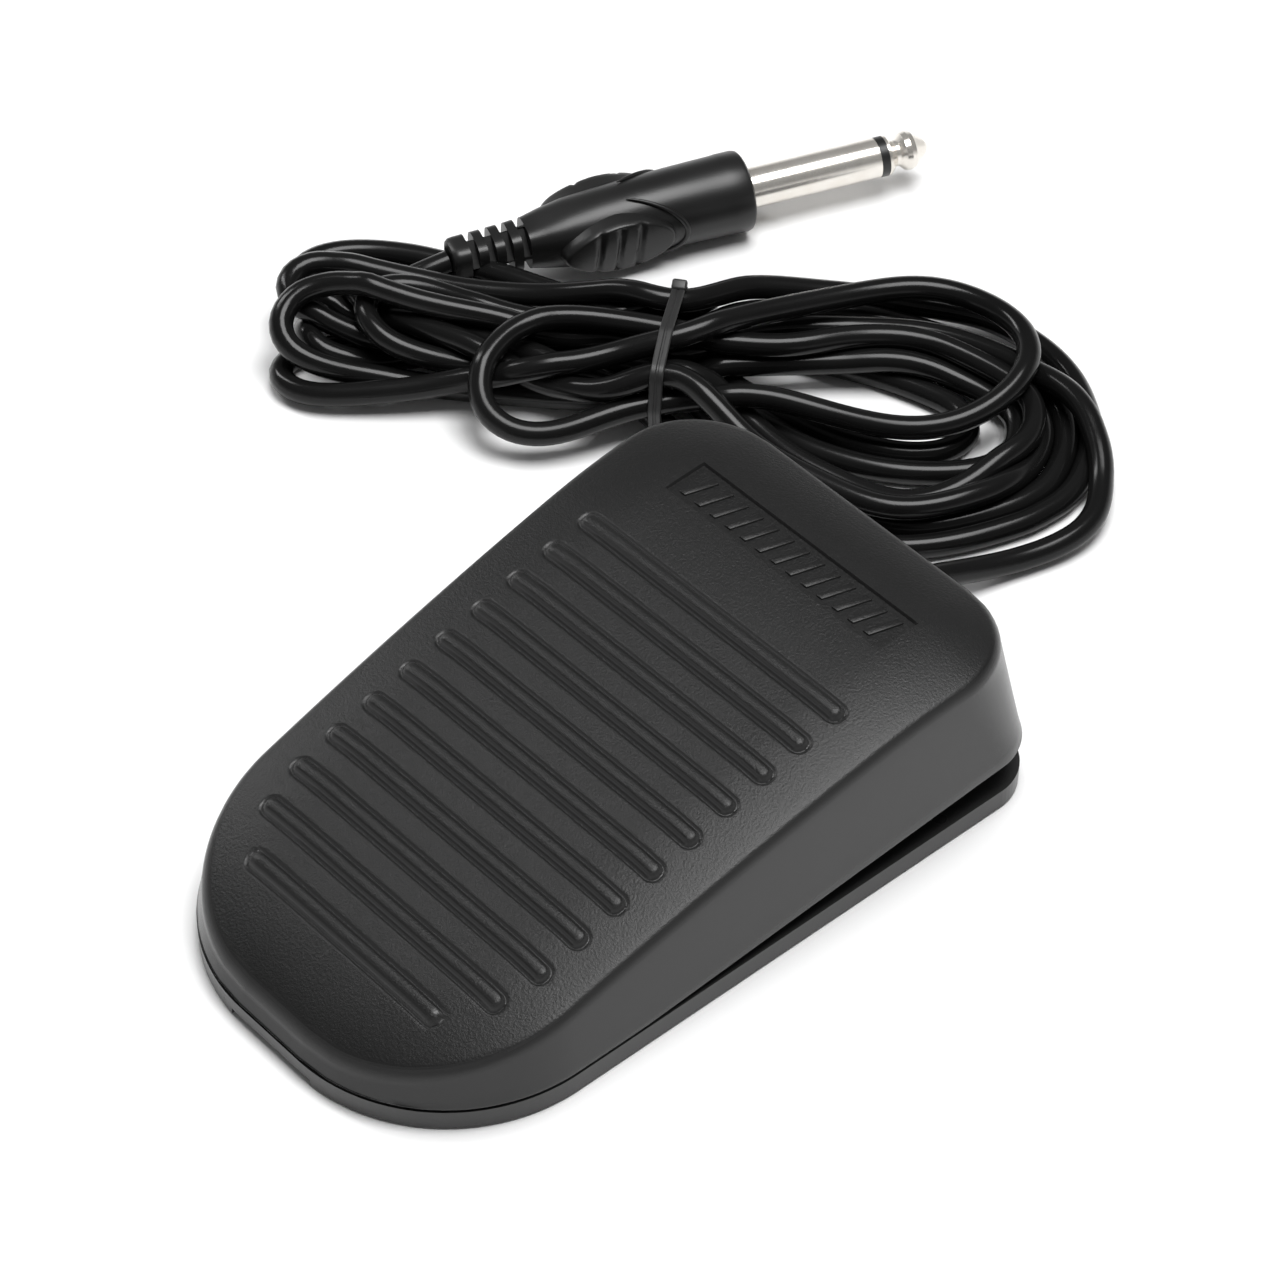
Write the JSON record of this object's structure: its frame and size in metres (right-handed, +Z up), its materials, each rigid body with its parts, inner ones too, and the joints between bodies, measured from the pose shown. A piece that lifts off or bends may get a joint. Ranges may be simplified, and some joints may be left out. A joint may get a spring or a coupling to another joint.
{
  "type": "sustain pedal",
  "caption": "Low moulded foot pedal whose ribbed cover rocks on a flat base to press a momentary switch, with a tied cord and a 6.35 mm plug.",
  "frame": {"origin": "on the floor under the middle of the pedal, without its cord", "axes": "+Z up, +Y along the pedal towards the tall end where the cord leaves, +X to the right when looking along +Y"},
  "size_m": [0.1443, 0.1866, 0.0292],
  "materials": {
    "cover_black": "fine-grained matte",
    "base_black": "satin",
    "rubber_black": "matte",
    "steel": "bright",
    "switch_black": "matte",
    "plunger_red": "satin",
    "brass": "polished",
    "wire_red": "satin",
    "cord_black": "smooth satin",
    "tie_black": "satin",
    "plug_black": "satin",
    "ring_black": "smooth",
    "nickel": "polished"
  },
  "bodies": {
    "base": {"base_plate": "base_black", "rubber_feet": "rubber_black", "hinge_pin_left": "steel", "hinge_pin_right": "steel", "return_spring": "steel", "stop_bumpers": "rubber_black", "switch_body": "switch_black", "switch_lid": "switch_black", "switch_spring": "steel", "terminal_left": "brass", "terminal_right": "brass", "switch_screws": "steel", "lead_wires": "wire_red", "cord_clamp": "switch_black", "clamp_screws": "steel", "cord_grommet": "cord_black", "cord_tail": "cord_black", "cord_hank": "cord_black", "cord_lead": "cord_black", "cord_tie": "tie_black", "plug_body": "plug_black", "plug_sleeve": "nickel", "plug_insulator": "ring_black", "plug_tip": "nickel"},
    "pedal": {"pedal_cover": "cover_black"},
    "plunger": {"switch_plunger": "plunger_red", "contact_bridge": "brass"}
  },
  "joints": [
    {"name": "pedal_hinge", "type": "hinge", "parent": "base", "child": "pedal", "pos_m": [0, -0.018, 0.008], "axis": [-1, 0, 0], "range_deg": [0, 4], "stiffness_Nm_per_rad": 3, "springref_deg": -8.59, "deforming": ["return_spring"]},
    {"name": "plunger_slide", "type": "slide", "parent": "base", "child": "plunger", "axis": [0, 0, -1], "range_m": [0, 0.0016], "stiffness_N_per_m": 15, "springref_m": -0.002, "deforming": ["switch_spring"]}
  ],
  "couplings": [
    {"joint": "plunger_slide", "follows": "pedal_hinge", "m_per_rad": 0.022}
  ]
}
